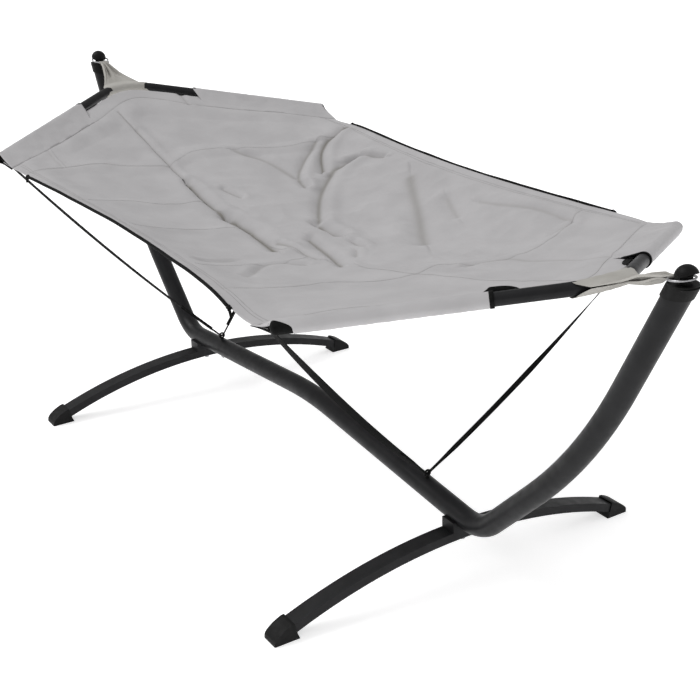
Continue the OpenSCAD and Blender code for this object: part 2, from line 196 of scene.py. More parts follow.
def woven(name, low, high, pitch, roughness=0.85, crumple=0.35, sheen=0.12, painted_shade_colour=None):
    """Plain-woven cloth with soft crumples and slight mottling; given a shade colour, painted shade is mixed into
    the base colour where the mesh's attribute marks folds and seam grooves.
    """
    mat = material(name, high, roughness, sheen=sheen, specular=0.25)
    tc, out = coordinates(mat, "object")
    vary_colour(mat, tc, out, low, high, 9.0)
    if painted_shade_colour:
        base = mat.node_tree.nodes["Principled BSDF"].inputs["Base Color"]
        even = base.links[0].from_node
        # painted shade: the mesh attribute mixes the darker shade colour into the cloth in its folds and seam
        # grooves
        depth = node(mat, "ShaderNodeAttribute", attribute_name="painted_fold_shade")
        mix = node(mat, "ShaderNodeMixRGB")
        mix.inputs["Color2"].default_value = (*painted_shade_colour, 1)
        link(mat, depth, "Fac", mix, "Fac")
        link(mat, even, "Color", mix, "Color1")
        mat.node_tree.links.new(mix.outputs["Color"], base)
    warp = wave(mat, tc, out, "X", pitch)
    weft = wave(mat, tc, out, "Y", pitch)
    cloth = crossed(mat, warp, weft, "MULTIPLY")
    first = bump(mat, cloth, "Value", 0.25, pitch * 0.25)
    second = noise_bump(mat, tc, out, 55.0, crumple, 0.0016, first)
    noise_bump(mat, tc, out, 16.0, crumple, 0.004, second, 2.0)
    return mat


def webbing(name, low, high, pitch):
    """Flat woven tape, ribbed slantwise, with its UV map in metres."""
    mat = material(name, high, 0.75, specular=0.1)
    tc, out = coordinates(mat, "uv")
    vary_colour(mat, tc, out, low, high, 120.0)
    slant = wave(mat, tc, out, "DIAGONAL", pitch)
    rib = wave(mat, tc, out, "X", pitch * 0.8)
    both = crossed(mat, slant, rib, "ADD")
    first = bump(mat, both, "Value", 0.5, 0.0004)
    noise_bump(mat, tc, out, 60.0, 0.2, 0.001, first)
    return mat


def painted(name, low, high, rough_low, rough_high):
    """Powder coat with a fine orange peel."""
    mat = material(name, high, rough_high, specular=0.17)
    tc, out = coordinates(mat, "object")
    vary_colour(mat, tc, out, low, high, 14.0)
    vary_roughness(mat, tc, out, rough_low, rough_high, 40.0)
    first = noise_bump(mat, tc, out, 900.0, 0.25, 0.00025)
    noise_bump(mat, tc, out, 120.0, 0.08, 0.0006, first)
    return mat


def moulded(name, low, high):
    """Moulded plastic with a sparkled grain."""
    mat = material(name, high, 0.5, specular=0.14)
    tc, out = coordinates(mat, "object")
    vary_colour(mat, tc, out, low, high, 30.0)
    vary_roughness(mat, tc, out, 0.42, 0.6, 70.0)
    grain = node(mat, "ShaderNodeTexVoronoi", Scale=900.0)
    link(mat, tc, out, grain, "Vector")
    bump(mat, grain, "Distance", 0.3, 0.0003)
    return mat


def plated(name):
    """Zinc-plated steel, faintly drawn along its length and stained."""
    mat = material(name, (0.42, 0.42, 0.43), 0.35, metallic=1.0)
    tc, out = coordinates(mat, "object")
    vary_colour(mat, tc, out, (0.30, 0.30, 0.31), (0.50, 0.50, 0.51), 90.0)
    vary_roughness(mat, tc, out, 0.25, 0.45, 160.0)
    noise_bump(mat, tc, out, 700.0, 0.15, 0.0002)
    return mat


PAINT = painted("frame_paint", (0.008, 0.008, 0.0088), (0.013, 0.013, 0.0142), 0.36, 0.5)
BLACK_PLASTIC = moulded("black_plastic", (0.003, 0.003, 0.003), (0.006, 0.006, 0.006))
BLACK_STEEL = painted("black_steel", (0.004, 0.004, 0.004), (0.008, 0.008, 0.008), 0.3, 0.45)
ZINC = plated("zinc_steel")
# the third bed colour is painted shade, a darker warm tone mixed into the cloth in folds and seam grooves
CLOTH_LOW, CLOTH_HIGH, CLOTH_PAINTED_SHADE = (0.436, 0.427, 0.434), (0.476, 0.467, 0.474), (0.20, 0.190, 0.172)
CLOTH = woven("bed_cloth", CLOTH_LOW, CLOTH_HIGH, 0.0009, painted_shade_colour=CLOTH_PAINTED_SHADE)
SLEEVE_CLOTH = woven("sleeve_cloth", CLOTH_LOW, CLOTH_HIGH, 0.0009, crumple=0.25)
SLING_CLOTH = woven("sling_cloth", (0.37, 0.357, 0.33), (0.45, 0.437, 0.41), 0.0009, crumple=0.6)
THREAD = woven("thread", (0.33, 0.325, 0.32), (0.38, 0.37, 0.365), 0.0004, roughness=0.7, crumple=0.0)
WEBBING = webbing("black_webbing", (0.003, 0.003, 0.003), (0.006, 0.006, 0.006), 0.0022)
BINDING = webbing("black_binding", (0.003, 0.003, 0.003), (0.007, 0.007, 0.007), 0.0014)
CORD_CLOTH = webbing("black_cord", (0.003, 0.003, 0.003), (0.007, 0.007, 0.007), 0.0035)

SLOT_LOOKS = {"frame_paint": PAINT, "black_plastic": BLACK_PLASTIC,
              "zinc_steel": ZINC, "black_steel": BLACK_STEEL}
for row in frame["record"]["subparts"]:
    if row["material_slot"] in SLOT_LOOKS:
        slots = frame["nodes"][row["node"]].material_slots
        for s in slots:
            s.material = SLOT_LOOKS[row["material_slot"]]


# ---------------------------------------------------------------- mesh helpers
def piece(name, verts, faces, mat, body="bed", uvs=None, replaces=()):
    mesh = bpy.data.meshes.new(name)
    corners = [tuple(int(i) for i in f) for f in faces]
    mesh.from_pydata([tuple(v) for v in np.asarray(verts, float)], [], corners)
    mesh.validate()
    mesh.materials.append(mat)
    if uvs is not None:
        layer = mesh.uv_layers.new(name="uv")
        index = np.zeros(len(mesh.loops), np.int32)
        mesh.loops.foreach_get("vertex_index", index)
        layer.data.foreach_set("uv", np.asarray(uvs, np.float32)[index].ravel())
    mesh.polygons.foreach_set("use_smooth", [True] * len(mesh.polygons))
    obj = bpy.data.objects.new(name, mesh)
    bpy.context.scene.collection.objects.link(obj)
    if body:
        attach(obj, body)
    if replaces:
        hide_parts(*replaces)
    return obj


def grid_faces(n, m, loop_n=False, loop_m=False, start=0, flip=False):
    """Quads of a grid of n rows of m points, numbered row by row."""
    i = np.arange(n if loop_n else n - 1)[:, None]
    j = np.arange(m if loop_m else m - 1)[None, :]
    a = i * m + j
    b = i * m + (j + 1) % m
    c = ((i + 1) % n) * m + (j + 1) % m
    d = ((i + 1) % n) * m + j
    faces = np.stack([a, b, c, d], -1).reshape(-1, 4) + start
    return faces[:, ::-1] if flip else faces


def frames(path, closed=False):
    """Unit tangents and two normals carried along a path without twist."""
    path = np.asarray(path, float)
    if closed:
        tang = unit(np.roll(path, -1, 0) - np.roll(path, 1, 0))
    else:
        tang = unit(np.gradient(path, axis=0))
    first = np.cross(tang[0], [0, 0, 1.0])
    if np.linalg.norm(first) < 0.1:
        first = np.cross(tang[0], [1.0, 0, 0])
    normals = [unit(first)]
    for t in tang[1:]:
        n = normals[-1] - t * np.dot(normals[-1], t)
        normals.append(unit(n))
    normals = np.array(normals)
    if closed:
        end = normals[-1] - tang[0] * np.dot(normals[-1], tang[0])
        other = np.cross(tang[0], normals[0])
        slip = math.atan2(np.dot(end, other), np.dot(end, normals[0]))
        for i in range(len(path)):
            a = -slip * i / len(path)
            side = np.cross(tang[i], normals[i])
            normals[i] = math.cos(a) * normals[i] + math.sin(a) * side
    return tang, normals, np.cross(tang, normals)


def lengths(path):
    path = np.asarray(path, float)
    return np.concatenate([[0], np.cumsum(np.linalg.norm(np.diff(path, axis=0), axis=1))])


def spaced(path, count):
    """The same line with evenly spaced points."""
    path = np.asarray(path, float)
    run = lengths(path)
    at = np.linspace(0, run[-1], count)
    return np.stack([np.interp(at, run, path[:, k]) for k in range(3)], 1)


def curve_through(points, count):
    """A smooth line through points, evenly spaced."""
    p = np.asarray(points, float)
    p = np.vstack([2 * p[0] - p[1], p, 2 * p[-1] - p[-2]])
    out = []
    for i in range(1, len(p) - 2):
        t = np.linspace(0, 1, 24, endpoint=False)[:, None]
        out.append(0.5 * (2 * p[i] + (p[i + 1] - p[i - 1]) * t
                          + (2 * p[i - 1] - 5 * p[i] + 4 * p[i + 1] - p[i + 2]) * t ** 2
                          + (3 * p[i] - p[i - 1] - 3 * p[i + 1] + p[i + 2]) * t ** 3))
    out.append(p[-2][None, :])
    return spaced(np.vstack(out), count)


def swept(path, section, turn=None, scale=None, closed=False):
    """Vertices, faces and a UV map in metres of a closed section swept along a path.
    section is a list of (across, out); turn rotates it and scale widens it at each point."""
    path, section = np.asarray(path, float), np.asarray(section, float)
    tang, a, b = frames(path, closed)
    n, m = len(path), len(section)
    turn = np.zeros(n) if turn is None else np.asarray(turn, float)
    scale = np.ones((n, 2)) if scale is None else np.asarray(scale, float)
    ca, sa = np.cos(turn)[:, None], np.sin(turn)[:, None]
    wide, out = ca * a + sa * b, -sa * a + ca * b
    verts = (path[:, None, :] + wide[:, None, :] * (section[None, :, 0, None] * scale[:, 0, None, None])
             + out[:, None, :] * (section[None, :, 1, None] * scale[:, 1, None, None])).reshape(-1, 3)
    faces = [list(f) for f in grid_faces(n, m, closed, True, flip=True)]
    if not closed:
        faces.append(list(range(m)))
        faces.append([(n - 1) * m + k for k in range(m - 1, -1, -1)])
    round_it = np.concatenate([[0], np.cumsum(np.linalg.norm(np.diff(section, axis=0), axis=1))])
    uv = np.stack([np.repeat(lengths(path), m), np.tile(round_it, n)], 1)
    return verts, faces, uv


def circle(r, sides):
    t = np.arange(sides) * 2 * math.pi / sides
    return np.stack([r * np.cos(t), r * np.sin(t)], 1)


def flat_band(width, thick, steps=4):
    """Section of a tape with rounded edges."""
    half, r = width / 2 - thick / 2, thick / 2
    t = np.linspace(-math.pi / 2, math.pi / 2, steps)
    a = np.stack([half + r * np.cos(t), r * np.sin(t)], 1)
    return np.vstack([a, -a])


def joined(parts):
    """Several (verts, faces, uv) as one."""
    verts, faces, uvs, start = [], [], [], 0
    for v, f, u in parts:
        verts.append(v)
        uvs.append(u)
        faces += [[i + start for i in face] for face in f]
        start += len(v)
    return np.vstack(verts), faces, np.vstack(uvs)


def turned_out(obj):
    """Makes all the face normals point out."""
    import bmesh
    bm = bmesh.new()
    bm.from_mesh(obj.data)
    bmesh.ops.recalc_face_normals(bm, faces=bm.faces)
    bm.to_mesh(obj.data)
    bm.free()
    return obj


def thicken(obj, thickness, offset=0.0):
    mod = obj.modifiers.new("thickness", "SOLIDIFY")
    mod.thickness = thickness
    mod.offset = offset
    return obj


def pleat(points, scale, amount, seed):
    """Smooth noise at points, from -amount to amount."""
    shift = Vector((seed * 3.1, seed * 1.7, seed * 2.3))
    spots = np.asarray(points).reshape(-1, 3)
    return np.array([noise.noise(Vector(p) * scale + shift) for p in spots]) * amount


# ---------------------------------------------------------------- the bed's surface
# Along the bed u runs from -1 at the back to 1 at the front; across it v runs from -1, left, to 1, right.
def end_x(v):
    return APEX[0] - BED_INSET - (APEX[0] - CORNER[0]) * np.hypot(v, BED_BLUNT)


def bow_z(x):
    return CORNER[2] + (x - CORNER[0]) * math.tan(RISE)


# Where the side hems droop and are pulled in, in u, and by how much
DROOP_AT, DROOP = 0.84, 0.022
PULL_AT, PULL_DOWN, PULL_IN = -0.88, 0.008, 0.010
HEM_OFF = 0.011


def bed_mid(u, v):
    """The middle of the bed's thickness."""
    u, v = np.broadcast_arrays(np.asarray(u, float), np.asarray(v, float))
    slack = 1 - u * u
    sag = SIDE_SAG + (MIDDLE_SAG - SIDE_SAG) * (1 - v * v)
    half_width = CORNER[1] - SIDE_DRAW * np.clip(slack, 0, 1) ** 1.5
    p = np.stack([u * end_x(v), v * half_width, bow_z(end_x(v)) - sag * slack], -1)
    # the side hem droops by the front left corner and is pulled in by the back right one
    droop = np.exp(-((u - DROOP_AT) / 0.14) ** 2) * smooth(-v, 0.7, 1.0)
    p[..., 2] -= DROOP * droop
    pulled = np.exp(-((u - PULL_AT) / 0.12) ** 2) * smooth(v, 0.7, 1.0)
    p[..., 2] -= PULL_DOWN * pulled
    p[..., 1] -= PULL_IN * pulled
    # the back's middle hem stands off the pole, on its right half
    between = smooth(v, -0.12, 0.02) * smooth(-v, -0.40, -0.30)
    p[..., 0] += HEM_OFF * between * smooth(-u, 0.93, 1.0)
    return p


# Seams, each a line of (u, v) points
END_SEAM = [(0.915, 1.0), (0.915, 0.75), (0.925, 0.45), (0.93, 0.3), (0.945, 0.15), (0.95, 0.0),
            (0.945, -0.15), (0.93, -0.3), (0.925, -0.45), (0.915, -0.75), (0.915, -1.0)]
SEAMS = [
    (0.5, [(-u, v) for u, v in END_SEAM]),
    (0.5, END_SEAM),
    (1.0, [(-0.92, -0.17), (-0.72, -0.17), (-0.55, -0.2), (-0.3, -0.23), (-0.1, -0.24)]),
    (0.35, [(-0.1, -0.24), (0.1, -0.27), (0.35, -0.2), (0.6, -0.08), (0.93, 0.0)]),
    (0.5, [(-0.81, -0.97), (-0.76, -0.78), (-0.72, -0.58), (-0.64, -0.4), (-0.57, -0.21)]),
    (0.3, [(-0.57, -0.21), (-0.62, 0.2), (-0.62, 0.6), (-0.7, 0.95)]),
    (0.45, [(-0.42, -0.95), (-0.42, -0.7), (-0.36, -0.5), (-0.32, -0.25)]),
    (0.55, [(0.63, -0.95), (0.58, -0.72), (0.53, -0.58), (0.49, -0.44), (0.53, -0.27), (0.53, -0.12),
            (0.5, 0.04), (0.55, 0.13),
            (0.6, 0.28), (0.66, 0.5), (0.66, 0.95)]),
    (0.3, [(0.36, -0.95), (0.27, -0.6), (0.22, -0.27)]),
    (0.3, [(-0.12, -0.95), (-0.13, -0.6), (-0.1, -0.24)]),
    (0.6, [(-0.915, -0.75), (-0.76, -0.78)]),
]
# Folds pressed into the slack cloth: points, depth, width, and the height of the ridge beside it,
# on its left or right (-)
FOLDS = [
    ([(-0.80, -0.16), (-0.62, -0.18), (-0.46, -0.2)], 0.005, 0.012, 0.002),
    ([(-0.46, -0.2), (-0.33, -0.23), (-0.2, -0.25)], 0.016, 0.020, 0.006),
    ([(-0.2, -0.25), (-0.09, -0.24), (0.10, -0.30)], 0.020, 0.026, 0.007),
    ([(0.05, -0.23), (0.14, -0.22), (0.24, -0.23)], 0.008, 0.013, 0.004),
    ([(0.07, -0.07), (0.19, -0.12), (0.33, -0.21)], 0.013, 0.018, 0.006),
    ([(-0.74, 0.95), (-0.58, 0.71), (-0.40, 0.56)], 0.016, 0.017, 0.010),
    ([(-0.64, 0.72), (-0.41, 0.43), (-0.31, 0.37)], 0.010, 0.015, 0.007),
    ([(-0.43, 0.78), (-0.40, 0.65), (-0.33, 0.52), (-0.22, 0.36), (-0.05, 0.15)], 0.012, 0.022, 0.008),
    ([(-0.43, 0.74), (-0.42, 0.80), (-0.34, 0.87)], 0.007, 0.013, 0.005),
    ([(-0.03, 0.11), (0.08, 0.10)], 0.022, 0.022, 0.006),
    ([(0.15, 0.08), (0.21, 0.06)], 0.009, 0.013, 0.003),
    ([(0.22, 0.0), (0.28, -0.08)], 0.005, 0.010, 0.003),
    ([(-0.12, 0.82), (0.10, 0.60), (0.30, 0.33)], 0.007, 0.040, -0.006),
    ([(0.13, 0.77), (0.25, 0.66)], 0.004, 0.024, -0.003),
    ([(0.40, -0.72), (0.27, -0.54), (0.24, -0.43), (0.27, -0.33)], 0.004, 0.012, 0.003),
    ([(-0.36, -0.07), (-0.29, -0.04)], 0.007, 0.012, 0.003),
    ([(-1.0, 0.27), (-0.93, 0.27)], 0.005, 0.008, 0.002),
    ([(0.26, 0.82), (0.49, 0.87), (0.66, 0.84)], 0.004, 0.018, 0.004),
    ([(0.64, 0.69), (0.67, 0.83)], 0.003, 0.012, 0.002),
    ([(-0.61, 0.26), (-0.53, 0.36), (-0.40, 0.39)], 0.006, 0.020, 0.004),
    ([(0.56, 0.12), (0.60, 0.30), (0.76, 0.39), (0.92, 0.42)], 0.004, 0.012, 0.003),
    ([(0.27, -0.85), (0.18, -0.6)], 0.003, 0.012, 0.002),
]
ALONG, ACROSS = 1.10, 0.56


def flat_place(u, v):
    """Rough flat coordinates on the bed, in metres."""
    return np.stack(np.broadcast_arrays(np.asarray(u, float) * ALONG, np.asarray(v, float) * ACROSS), -1)


def to_line(points, line):
    """Distance of flat points to a line, and the side it is on."""
    line = np.array([(a, b, 0.0) for a, b in line])
    line = curve_through(line, max(6, 5 * len(line)))
    line = flat_place(line[:, 0], line[:, 1])
    best = np.full(points.shape[:-1], 1e9)
    side = np.zeros_like(best)
    for a, b in zip(line[:-1], line[1:]):
        d = b - a
        t = np.clip(((points - a) @ d) / max(d @ d, 1e-12), 0, 1)
        off = points - (a + t[..., None] * d)
        dist = np.linalg.norm(off, axis=-1)
        closer = dist < best
        best = np.where(closer, dist, best)
        side = np.where(closer, np.sign(d[0] * off[..., 1] - d[1] * off[..., 0]), side)
    return best, side


def enlarged(grid, times):
    """A grid of points with times as many cells each way, on smooth curves."""
    def one_way(g):
        g = np.concatenate([2 * g[:1] - g[1:2], g, 2 * g[-1:] - g[-2:-1]])
        rows = []
        for i in range(1, len(g) - 2):
            for k in range(times):
                t = k / times
                rows.append(0.5 * (2 * g[i] + (g[i + 1] - g[i - 1]) * t
                                   + (2 * g[i - 1] - 5 * g[i] + 4 * g[i + 1] - g[i + 2]) * t ** 2
                                   + (3 * g[i] - g[i - 1] - 3 * g[i + 1] + g[i + 2]) * t ** 3))
        rows.append(g[-2])
        return np.array(rows)
    return one_way(one_way(grid).transpose(1, 0, 2)).transpose(1, 0, 2)


def grid_normals(p):
    n = np.cross(np.gradient(p, axis=0), np.gradient(p, axis=1))
    return unit(n)


def draped(p, u, v):
    """The bed's middle surface after the slack cloth has settled, with its edges and seams held."""
    n, m = u.shape
    mesh = bpy.data.meshes.new("drape")
    faces = [tuple(int(i) for i in f) for f in grid_faces(n, m)]
    mesh.from_pydata([tuple(x) for x in p.reshape(-1, 3)], [], faces)
    obj = bpy.data.objects.new("drape", mesh)
    bpy.context.scene.collection.objects.link(obj)
    flat = flat_place(u, v)
    held = np.maximum(smooth(np.abs(u), 0.86, 0.92), smooth(np.abs(v), 0.86, 0.93))
    for _, seam in SEAMS[2:]:
        held = np.maximum(held, 0.75 * (to_line(flat, seam)[0] < 0.012))
    group = obj.vertex_groups.new(name="held")
    for i, w in enumerate(held.ravel()):
        if w > 0.01:
            group.add([i], float(w), "REPLACE")
    cloth = obj.modifiers.new("cloth", "CLOTH")
    s = cloth.settings
    s.quality = 6
    s.mass = 0.25
    s.tension_stiffness = s.compression_stiffness = 18
    s.shear_stiffness = 8
    s.bending_stiffness = 0.35
    s.vertex_group_mass = "held"
    s.pin_stiffness = 1.0
    s.shrink_min = -0.009
    s.effector_weights.gravity = 0.35
    cloth.collision_settings.use_collision = False
    cloth.collision_settings.use_self_collision = False
    scene = bpy.context.scene
    frames_run = 26
    cloth.point_cache.frame_start = 1
    cloth.point_cache.frame_end = frames_run
    for f in range(1, frames_run + 1):
        scene.frame_set(f)
    dg = bpy.context.evaluated_depsgraph_get()
    done = obj.evaluated_get(dg).to_mesh()
    co = np.zeros(len(done.vertices) * 3)
    done.vertices.foreach_get("co", co)
    co = co.reshape(n, m, 3)
    scene.frame_set(1)
    bpy.data.objects.remove(obj, do_unlink=True)
    move = co - p
    for _ in range(3):
        wide = np.pad(move, ((1, 1), (1, 1), (0, 0)), mode="edge")
        move = (wide[:-2, 1:-1] + wide[2:, 1:-1] + wide[1:-1, :-2] + wide[1:-1, 2:] + 2 * move) / 6
    far = np.linalg.norm(move, axis=-1, keepdims=True)
    cap = 0.010
    return p + move * np.minimum(1, cap / np.maximum(far, 1e-9))


ROWS, COLS, TIMES = 165, 81, 3
u0, v0 = np.meshgrid(np.linspace(-1, 1, ROWS), np.linspace(-1, 1, COLS), indexing="ij")
mid = bed_mid(u0, v0)
mid = draped(mid, u0, v0)
mid = enlarged(mid, TIMES)
U, V = np.meshgrid(np.linspace(-1, 1, mid.shape[0]), np.linspace(-1, 1, mid.shape[1]), indexing="ij")
FLAT = flat_place(U, V)

# folds, quilting and fine crumples, as heights over the draped surface
FOLD_GAIN = 0.95
COARSE_CRUMPLE = 0.012
FINE_CRUMPLE = 0.0055
height = np.zeros(U.shape)
# shade is painted shade: how much of the darker cloth colour goes into the folds' troughs and the seams' grooves
shade = np.zeros(U.shape)
in_fold = np.zeros(U.shape)
fade = smooth(1 - np.abs(V), 0.0, 0.12)
for line, depth, width, ridge in FOLDS:
    d, side = to_line(FLAT, line)
    pressed = np.exp(-(d / width) ** 2)
    height -= FOLD_GAIN * depth * pressed * fade
    beside = np.exp(-((d - 1.7 * width) / (1.1 * width)) ** 2) * (side * ridge > 0)
    height += FOLD_GAIN * abs(ridge) * beside * fade
    shade = np.maximum(shade, min(1.0, depth / 0.016) * np.exp(-(d / (0.42 * width)) ** 2))
    in_fold = np.maximum(in_fold, pressed)
seam_d = np.full(U.shape, 1.0)
puff = np.ones(U.shape)
for strength, line in SEAMS:
    d, side = to_line(FLAT, line)
    seam_d = np.minimum(seam_d, d / (0.4 + strength))
    height -= 0.0016 * strength * np.exp(-(d / 0.0045) ** 2)
    puff = np.minimum(puff, 1 - strength * np.exp(-(d / 0.036) ** 1.2))
    shade = np.maximum(shade, 0.45 * strength ** 2 * np.exp(-(d / 0.0035) ** 2))
height += 0.0050 * (puff - 1)
inside = smooth(1 - np.abs(V), 0.03, 0.12) * smooth(1 - np.abs(U), 0.02, 0.10)
busy = 0.3 + 0.7 * smooth(V, -0.45, 0.0) * smooth(0.75 - np.abs(U - 0.05), 0.0, 0.4)
calm = inside * busy * (1 - 0.8 * in_fold)
spots = np.dstack([FLAT, np.zeros(U.shape)])
skewed = spots @ np.array([[1.0, 0.45, 0], [-0.55, 1.0, 0], [0, 0, 1.0]])
crumple = np.abs(pleat(skewed, 5.0, 1.0, 2)).reshape(U.shape)
height += calm * COARSE_CRUMPLE * (0.35 - crumple)
crumple = np.abs(pleat(skewed, 11.0, 1.0, 21)).reshape(U.shape)
height += calm * FINE_CRUMPLE * (0.35 - crumple)
pucker = np.exp(-(seam_d / 0.022) ** 2) * pleat(spots, 32.0, 0.0008, 9).reshape(U.shape)
height += inside * (1 - in_fold) * pucker
normals = grid_normals(mid)
mid = mid + normals * height[..., None]
normals = grid_normals(mid)

# the pad is thin at its hems; two rows of stitching hold the side hems
edge = np.minimum((1 - np.abs(V)) * ACROSS, (1 - np.abs(U)) * ALONG)
thick = HEM_T + (BED_T - HEM_T) * smooth(edge, 0.012, 0.06)
side_edge = (1 - np.abs(V)) * ACROSS
for hem in (0.022, 0.030):
    thick -= 0.0012 * np.exp(-((side_edge - hem) / 0.0022) ** 2)
top = mid + normals * (thick / 2)[..., None]
bottom = mid - normals * (thick / 2)[..., None]


def on_top(u, v, lift=0.0):
    """Points on the bed's upper face."""
    n, m = U.shape
    a = np.clip((np.asarray(u, float) + 1) / 2 * (n - 1), 0, n - 1.001)
    b = np.clip((np.asarray(v, float) + 1) / 2 * (m - 1), 0, m - 1.001)
    i, j = a.astype(int), b.astype(int)
    f, g = (a - i)[..., None], (b - j)[..., None]

    def pick(q):
        return (q[i, j] * (1 - f) * (1 - g) + q[i + 1, j] * f * (1 - g)
                + q[i, j + 1] * (1 - f) * g + q[i + 1, j + 1] * f * g)
    if lift is None:
        return pick(bottom), -unit(pick(normals))
    return pick(top) + unit(pick(normals)) * lift, unit(pick(normals))


def quilt():
    n, m = U.shape
    rim = np.concatenate([
        np.stack([np.zeros(m - 1, int), np.arange(m - 1)], 1),
        np.stack([np.arange(n - 1), np.full(n - 1, m - 1)], 1),
        np.stack([np.full(m - 1, n - 1), np.arange(m - 1, 0, -1)], 1),
        np.stack([np.arange(n - 1, 0, -1), np.zeros(n - 1, int)], 1)])
    around = mid[rim[:, 0], rim[:, 1]]
    along_rim = unit(np.roll(around, -1, 0) - np.roll(around, 1, 0))
    outward = unit(np.cross(along_rim, normals[rim[:, 0], rim[:, 1]]))
    centre = mid.mean((0, 1))
    outward *= np.sign(np.sum(outward * (around - centre), 1, keepdims=True))
    middle = around + outward * 0.0018
    verts = np.vstack([top.reshape(-1, 3), bottom.reshape(-1, 3), middle])
    faces = [tuple(f) for f in grid_faces(n, m, flip=False)]
    faces += [tuple(f) for f in grid_faces(n, m, start=n * m, flip=True)]
    flat_index = rim[:, 0] * m + rim[:, 1]
    for k in range(len(rim)):
        a, b = flat_index[k], flat_index[(k + 1) % len(rim)]
        c, d = 2 * n * m + k, 2 * n * m + (k + 1) % len(rim)
        faces.append((a, c, d, b))
        faces.append((c, a + n * m, b + n * m, d))
    obj = piece("quilt", verts, faces, CLOTH, replaces=["bed_fabric"])
    # the painted shade goes onto the mesh as an attribute that darkens the cloth's colour in folds and seam
    # grooves
    depth = np.concatenate([shade.ravel(), np.zeros(n * m + len(rim))]).astype(np.float32)
    obj.data.attributes.new("painted_fold_shade", "FLOAT", "POINT").data.foreach_set("value", depth)
    turned_out(obj)
    return obj


quilt()


# ---------------------------------------------------------------- stitches
def stitches(lines, pitch=0.0052, length=0.0036, r=0.00055):
    """Short rounded threads along lines; each line is (points, normals)."""
    parts = []
    shape = circle(1.0, 5)
    for points, ups in lines:
        run = lengths(points)
        starts = np.arange(pitch / 2, run[-1] - length, pitch)
        for a in starts:
            ends = [np.array([np.interp(x, run, points[:, k]) for k in range(3)]) for x in (a, a + length)]
            lift = np.array([np.interp(a, run, ups[:, k]) for k in range(3)])
            along = unit(ends[1] - ends[0])
            across = unit(np.cross(along, lift))
            lift = np.cross(across, along)
            rings = []
            for t, size in ((0.0, 0.35), (0.25, 1.0), (0.75, 1.0), (1.0, 0.35)):
                c = ends[0] + (ends[1] - ends[0]) * t
                rings.append(c + (across[None] * shape[:, :1] + lift[None] * shape[:, 1:]) * r * size)
            v = np.vstack(rings)
            f = [list(x) for x in grid_faces(4, 5, False, True)] + [[4, 3, 2, 1, 0], [15, 16, 17, 18, 19]]
            parts.append((v, f, np.zeros((len(v), 2))))
    return joined(parts)


def on_bed_line(line, under=False):
    p = np.array([(a, b, 0.0) for a, b in line])
    p = curve_through(p, 160)
    return on_top(p[:, 0], p[:, 1], None if under else 0.0003)


seam_lines = [on_bed_line([(u, v * 0.97) for u, v in line]) for strength, line in SEAMS]
verts, faces, uvs = stitches(seam_lines)
turned_out(piece("quilt_stitches", verts, faces, THREAD))
hem_lines = []
for side in (-1, 1):
    for hem in (0.022, 0.030):
        hem_lines.append(on_bed_line([(x, side * (1 - hem / ACROSS)) for x in np.linspace(-0.9, 0.9, 25)]))
verts, faces, uvs = stitches(hem_lines)
turned_out(piece("hem_stitches", verts, faces, THREAD))


# ---------------------------------------------------------------- sleeves over the spreaders
def wing_frame(end, side):
    """A wing's start at its corner, its direction to the apex, the directions into the bed and up, its length."""
    flip = np.array([end, side, 1.0])
    start, apex = CORNER * flip, APEX * flip
    along = unit(apex - start)
    up_plane = unit(np.array([-math.sin(RISE) * end, 0, math.cos(RISE)]))
    inward = unit(np.cross(up_plane, along))
    if inward @ (np.array([0, 0, 0.9]) - start) < 0:
        inward = -inward
    return start, along, inward, up_plane, np.linalg.norm(apex - start)


SLEEVE_GAP = 0.0009
SLEEVE_R = POLE_R + SLEEVE_GAP + 0.0008


def seam_point(t, end, side, under=False):
    """Where the sleeve is sewn to the bed, on the line of the pole's point t."""
    v = side * (1 - t)
    u = np.interp(abs(v), [0.0, 0.15, 0.3, 0.45, 0.75, 1.0], [0.95, 0.945, 0.93, 0.925, 0.915, 0.915]) * end
    p, n = on_top(u, v, None if under else 0.0)
    return p - n * 0.0004


def sleeve_section(t, end, side, radius=SLEEVE_R, points_flap=9, points_arc=26):
    """The sleeve's line round the pole at t: along the bed, over the pole, round it and back under.
    Past the pole's end it closes in a round."""
    start, along, inward, up_plane, span = wing_frame(end, side)
    centre = start + along * span * t
    past = np.clip((0.003 - t * span) / 0.0125, 0, 0.98)
    radius = radius * math.sqrt(1 - past * past)
    beyond = along * span * min(t, 0.0)

    def local(p):
        d = p - centre
        return np.array([d @ along, d @ inward, d @ up_plane])
    s_top = local(seam_point(max(t, 0.0), end, side) + beyond)
    s_low = local(seam_point(max(t, 0.0), end, side, True) + beyond)

    def tangent(s, sign):
        dist, ang = math.hypot(s[1], s[2]), math.atan2(s[2], s[1])
        return ang + sign * math.acos(min(1.0, radius / dist))
    a_top, a_low = tangent(s_top, 1), tangent(s_low, -1)
    line = []
    touch = np.array([0, radius * math.cos(a_top), radius * math.sin(a_top)])
    for k in range(points_flap):
        f = k / points_flap
        p = s_top * (1 - f) + touch * f
        p[2] -= 0.0025 * math.sin(math.pi * f)
        line.append(p)
    end_angle = a_low + 2 * math.pi if a_low < a_top else a_low
    for k in range(points_arc + 1):
        a = a_top + (end_angle - a_top) * k / points_arc
        line.append(np.array([0, radius * math.cos(a), radius * math.sin(a)]))
    touch = np.array([0, radius * math.cos(a_low), radius * math.sin(a_low)])
    for k in range(1, points_flap + 1):
        f = k / points_flap
        line.append(touch * (1 - f) + s_low * f)
    return np.array([centre + along * q[0] + inward * q[1] + up_plane * q[2] for q in line])


SLEEVE_T = 1 - SLEEVE_Y / CORNER[1]
NAMES = {(1, -1): "front_left", (1, 1): "front_right", (-1, -1): "back_left", (-1, 1): "back_right"}


# Where the slant of each sleeve's end starts and is whole, round its section, and how far the end
# stands off the tip
SLANTS = {(1, -1): (8, 24, 0.0), (1, 1): (16, 31, 0.0050), (-1, -1): (14, 31, 0.0055), (-1, 1): (18, 31, 0.0)}


